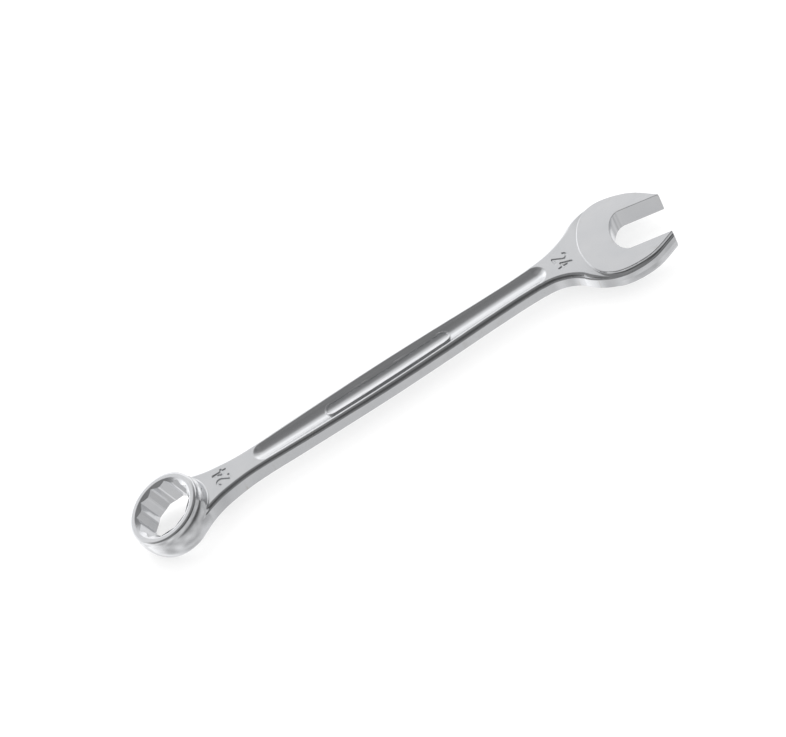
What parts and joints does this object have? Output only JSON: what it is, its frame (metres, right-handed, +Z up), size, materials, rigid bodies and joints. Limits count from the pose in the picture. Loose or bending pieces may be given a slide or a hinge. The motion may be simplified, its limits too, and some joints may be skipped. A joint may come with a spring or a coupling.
{
  "type": "combination wrench",
  "caption": "Forged chrome combination wrench with a tilted 12-point ring at one end, an angled open jaw at the other and a hollow-ground shank between them.",
  "frame": {"origin": "centre of the box round the whole wrench", "axes": "+X along the shank from the ring end to the open end, +Z up out of the upper face, +Y across the shank, away from the side that the open jaw leans to"},
  "size_m": [0.2692, 0.0492, 0.0224],
  "materials": {
    "chrome": "satin-polished chrome plate, finer on the ground faces of the two ends"
  },
  "bodies": {
    "root": {"ring_head": "chrome", "ring_neck": "chrome", "shank": "chrome", "jaw_neck": "chrome", "jaw_head": "chrome"}
  },
  "joints": []
}
